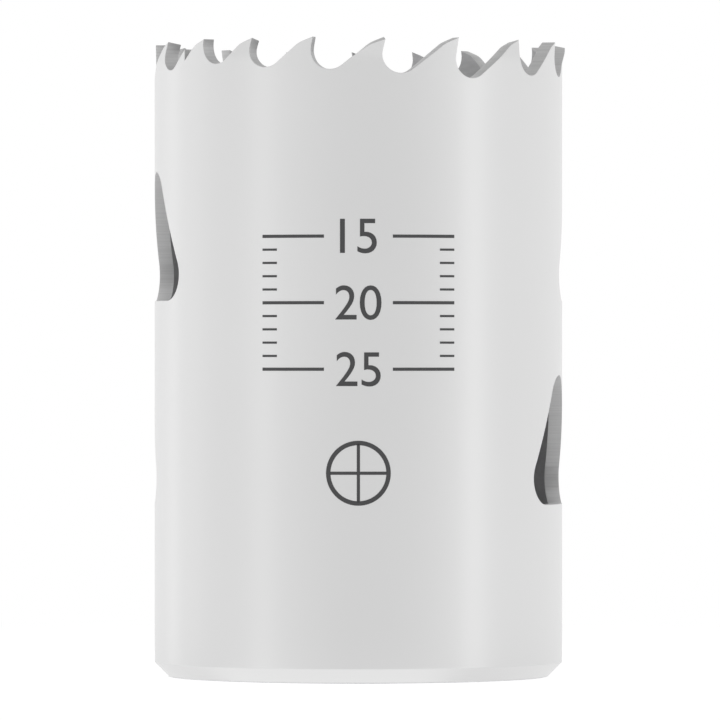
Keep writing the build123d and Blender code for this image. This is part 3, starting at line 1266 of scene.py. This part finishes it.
class HOLESAW_OT_stage(Operator):
    """Set up the floor, the lights and the camera"""

    bl_idname = "hole_saw.stage"
    bl_label = "Studio"
    bl_options = {"REGISTER", "UNDO"}

    def execute(self, context):
        studio = context.scene.hole_saw.studio
        scene = context.scene
        scene.view_settings.view_transform = "Standard"
        world = bpy.data.worlds.new("studio")
        world.use_nodes = True
        scene.world = world
        tree = world.node_tree
        path = add_node(tree, "ShaderNodeLightPath").outputs
        seen = maths(tree, "MAXIMUM", path["Is Camera Ray"], path["Is Glossy Ray"])
        seen = maths(tree, "MAXIMUM", seen, path["Is Transmission Ray"])
        level = maths(tree, "MULTIPLY_ADD", seen, 1 - studio.world_level, studio.world_level)
        # A dim front keeps the middle of the wall darker than its sides, and a dim top the teeth
        heading = add_node(tree, "ShaderNodeTexCoord").outputs["Generated"]
        unseen = maths(tree, "SUBTRACT", 1.0, path["Is Camera Ray"])
        for target, first, last, dimming in (
            (level_way(FRONT_DIM_WAY), FRONT_DIM_START, FRONT_DIM_FULL, studio.front_dimming),
            ((0, 0, 1), TOP_DIM_START, TOP_DIM_FULL, studio.top_dimming),
        ):
            share = smooth_range(tree, cosine_to(tree, heading, target), first, last, 0, dimming)
            share = maths(tree, "SUBTRACT", 1.0, maths(tree, "MULTIPLY", share, unseen))
            level = maths(tree, "MULTIPLY", level, share)
        tree.links.new(level, tree.nodes["Background"].inputs["Strength"])
        tree.nodes["Background"].inputs["Color"].default_value = (1, 1, 1, 1)

        floor_mesh = new_sheet()
        bmesh.ops.create_circle(
            floor_mesh, cap_ends=True, radius=studio.floor_radius, segments=FLOOR_SIDES
        )
        made = bpy.data.meshes.new("floor")
        floor_mesh.to_mesh(made)
        floor_mesh.free()
        made.materials.append(floor_material(studio))
        ground = bpy.data.objects.new("floor", made)
        ground.location.z = -FLOOR_DROP
        scene.collection.objects.link(ground)

        # Tall strip lights far round the saw, so that the wall is brightest near its sides
        for name, azimuth, power in STRIP_LIGHTS:
            light = bpy.data.lights.new(name, "AREA")
            light.shape = "RECTANGLE"
            light.size, light.size_y = LIGHT_WIDTH, LIGHT_HEIGHT
            light.energy = power
            lamp = bpy.data.objects.new(name, light)
            x, y, _ = level_way(azimuth)
            lamp.location = (x * LIGHT_REACH, y * LIGHT_REACH, TOP / 2)
            lamp.rotation_euler = (pi / 2, 0, radians(azimuth))
            scene.collection.objects.link(lamp)

        lens = bpy.data.cameras.new("camera")
        lens.sensor_width = SENSOR_WIDTH
        lens.lens = studio.lens
        lens.shift_x = (PICTURE_SIZE / 2 - AXIS_X) / PICTURE_SIZE
        lens.shift_y = (EYE_Y - PICTURE_SIZE / 2) / PICTURE_SIZE
        lens.clip_start = NEAREST_SEEN
        camera = bpy.data.objects.new("camera", lens)
        camera.location = (0, -studio.camera_distance, studio.camera_height)
        camera.rotation_euler = (pi / 2, 0, 0)
        scene.collection.objects.link(camera)
        scene.camera = camera
        return {"FINISHED"}


def floor_material(studio):
    """A white floor that keeps a soft shadow near the saw."""
    material = bpy.data.materials.new("floor")
    material.use_nodes = True
    tree = material.node_tree
    tree.nodes.remove(tree.nodes["Principled BSDF"])
    output = tree.nodes["Material Output"]
    path = add_node(tree, "ShaderNodeLightPath").outputs
    place = add_node(tree, "ShaderNodeTexCoord").outputs["Object"]
    reach = add_node(tree, "ShaderNodeVectorMath", {0: place}, operation="LENGTH").outputs["Value"]
    far = smooth_range(tree, reach, SHADOW_FULL, SHADOW_END)
    tone = (FLOOR_TONE, FLOOR_TONE, FLOOR_TONE, 1)
    matt = add_node(tree, "ShaderNodeBsdfDiffuse", {"Color": tone}).outputs[0]
    lift = maths(tree, "MULTIPLY", path["Is Camera Ray"], SHADOW_LIFT)
    lift = add_node(tree, "ShaderNodeEmission", {"Strength": lift}).outputs[0]
    near = add_node(tree, "ShaderNodeAddShader", {0: matt, 1: lift}).outputs[0]
    # It lights the saw as white, and close by the bevel a little more in front and less elsewhere
    unseen = maths(tree, "SUBTRACT", 1.0, path["Is Camera Ray"])
    way = add_node(tree, "ShaderNodeVectorMath", {0: place}, operation="NORMALIZE").outputs[0]
    facing = cosine_to(tree, way, level_way(GLOW_WAY))
    glows = studio.side_glow, studio.front_glow
    front = smooth_range(tree, facing, GLOW_SIDE_END, GLOW_FRONT_START, *glows)
    beside = smooth_range(tree, reach, GLOW_FULL, GLOW_END, 1.0, 0.0)
    glow = maths(tree, "MULTIPLY_ADD", maths(tree, "MULTIPLY", beside, unseen), front, 1.0)
    white = add_node(tree, "ShaderNodeEmission", {"Strength": glow}).outputs[0]
    # The camera sees it white further out
    fade = maths(tree, "MAXIMUM", unseen, far)
    mixed = add_node(tree, "ShaderNodeMixShader", {0: fade, 1: near, 2: white}).outputs[0]
    # The floor is clear from below, to the saw's face that stands on it, and to the strip lights
    below = add_node(tree, "ShaderNodeNewGeometry").outputs["Backfacing"]
    close = maths(tree, "LESS_THAN", path["Ray Length"], STANDING_GAP)
    clear = add_node(tree, "ShaderNodeBsdfTransparent").outputs[0]
    hidden = maths(tree, "MAXIMUM", below, close)
    for ray in ("Is Glossy Ray", "Is Shadow Ray"):
        hidden = maths(tree, "MAXIMUM", hidden, path[ray])
    ended = add_node(tree, "ShaderNodeMixShader", {0: hidden, 1: mixed, 2: clear}).outputs[0]
    tree.links.new(ended, output.inputs["Surface"])
    return material


OPERATORS = (
    HOLESAW_OT_wall, HOLESAW_OT_teeth, HOLESAW_OT_plate, HOLESAW_OT_weld, HOLESAW_OT_marks,
    HOLESAW_OT_stage,
)


class HOLESAW_PT_panel(Panel):
    """Lists the pieces of the saw"""

    bl_label = "Hole Saw"
    bl_idname = "HOLESAW_PT_panel"
    bl_space_type = "VIEW_3D"
    bl_region_type = "UI"
    bl_category = "Hole Saw"

    def draw(self, context):
        for operator in OPERATORS:
            self.layout.operator(operator.bl_idname)


SETTINGS = (
    StripSettings, ToothSettings, SlotSettings, PlateSettings, MarkSettings, FinishSettings,
    StudioSettings, SawSettings,
)


def register():
    """Registers the settings, the operators and the panel."""
    for item in SETTINGS + OPERATORS + (HOLESAW_PT_panel,):
        bpy.utils.register_class(item)
    bpy.types.Scene.hole_saw = group_prop("Hole Saw", SawSettings)


def unregister():
    """Takes everything that register added away again."""
    del bpy.types.Scene.hole_saw
    for item in reversed(SETTINGS + OPERATORS + (HOLESAW_PT_panel,)):
        bpy.utils.unregister_class(item)


def main():
    """Registers the settings and builds the whole scene."""
    register()
    bpy.ops.hole_saw.stage()
    bpy.ops.hole_saw.wall()
    bpy.ops.hole_saw.teeth()
    bpy.ops.hole_saw.plate()
    bpy.ops.hole_saw.weld()
    bpy.ops.hole_saw.marks()


if __name__ == "__main__":
    main()
